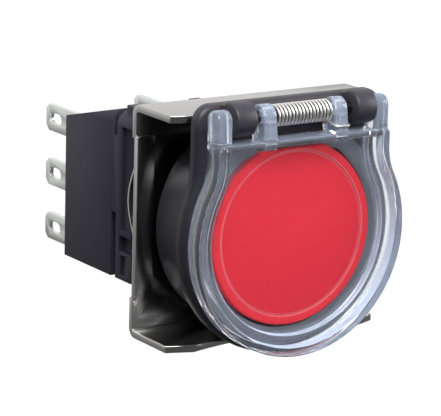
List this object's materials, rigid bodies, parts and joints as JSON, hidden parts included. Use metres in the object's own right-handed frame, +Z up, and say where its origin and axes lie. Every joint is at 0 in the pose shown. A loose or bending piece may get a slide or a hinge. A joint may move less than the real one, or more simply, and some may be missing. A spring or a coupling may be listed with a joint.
{
  "type": "panel push button with hinged cover",
  "caption": "Panel button with a red flush face under a spring-closed clear hinged lid, a sprung clamping bracket and rear contact units with solder tabs.",
  "frame": {"origin": "on the button's axis, in the plane of the flange face that seats against the panel", "axes": "+X to the right and +Z up as seen from the front, +Y from the button towards the terminals; the front faces -Y"},
  "size_m": [0.0242, 0.04, 0.0257],
  "materials": {
    "bezel_plastic": "satin black moulded plastic",
    "clear_plastic": "clear polycarbonate, polished",
    "pin_steel": "drawn stainless rod",
    "spring_steel": "bright spring wire",
    "red_plastic": "satin red moulded plastic",
    "red_face_plastic": "fine-textured red plastic",
    "white_plastic": "natural acetal",
    "inner_plastic": "black moulded plastic",
    "gasket_rubber": "black nitrile rubber",
    "bracket_steel": "brushed stainless sheet",
    "strip_steel": "bright spring strip",
    "carrier_plastic": "satin black moulded plastic",
    "base_plastic": "satin black moulded plastic",
    "cover_plastic": "satin blue-black moulded plastic",
    "contact_brass": "spring bronze strip",
    "terminal_metal": "tin-plated brass, satin"
  },
  "bodies": {
    "switch_body": {"front_bezel": "bezel_plastic", "hinge_pin": "pin_steel", "lid_spring": "spring_steel", "return_spring": "spring_steel", "operator_body": "inner_plastic", "panel_gasket": "gasket_rubber", "bow_spring": "strip_steel", "adapter": "carrier_plastic", "left_base": "base_plastic", "right_base": "base_plastic", "left_cover": "cover_plastic", "right_cover": "cover_plastic", "left_slider_spring": "spring_steel", "right_slider_spring": "spring_steel", "left_terminal_top": "terminal_metal", "left_terminal_middle": "terminal_metal", "left_terminal_bottom": "terminal_metal", "right_terminal_top": "terminal_metal", "right_terminal_middle": "terminal_metal", "right_terminal_bottom": "terminal_metal"},
    "lid": {"clear_lid": "clear_plastic"},
    "button": {"button_cap": "red_plastic", "button_face": "red_face_plastic", "plunger": "white_plastic", "pusher_plate": "inner_plastic", "plunger_clip": "spring_steel"},
    "left_contact": {"left_slider": "white_plastic", "left_blade": "contact_brass"},
    "right_contact": {"right_slider": "white_plastic", "right_blade": "contact_brass"},
    "bracket": {"mounting_bracket": "bracket_steel"}
  },
  "joints": [
    {"name": "lid_hinge", "type": "hinge", "parent": "switch_body", "child": "lid", "pos_m": [0, -0.00252, 0.01193], "axis": [-1, 0, 0], "range_deg": [0, 110], "stiffness_Nm_per_rad": 0.0012, "springref_deg": -34.38, "deforming": ["lid_spring"]},
    {"name": "button_press", "type": "slide", "parent": "switch_body", "child": "button", "axis": [0, 1, 0], "range_m": [0, 0.0025], "stiffness_N_per_m": 500, "springref_m": -0.002, "deforming": ["return_spring"]},
    {"name": "left_contact_slide", "type": "slide", "parent": "switch_body", "child": "left_contact", "axis": [0, 1, 0], "range_m": [0, 0.0025], "stiffness_N_per_m": 120, "springref_m": -0.001, "deforming": ["left_slider_spring"]},
    {"name": "right_contact_slide", "type": "slide", "parent": "switch_body", "child": "right_contact", "axis": [0, 1, 0], "range_m": [0, 0.0025], "stiffness_N_per_m": 120, "springref_m": -0.001, "deforming": ["right_slider_spring"]},
    {"name": "bracket_slide", "type": "slide", "parent": "switch_body", "child": "bracket", "axis": [0, 1, 0], "range_m": [0, 0.0017], "stiffness_N_per_m": 4000, "springref_m": -0.0005, "deforming": ["bow_spring"]}
  ],
  "couplings": [
    {"joint": "left_contact_slide", "follows": "button_press", "ratio": 1},
    {"joint": "right_contact_slide", "follows": "button_press", "ratio": 1}
  ]
}
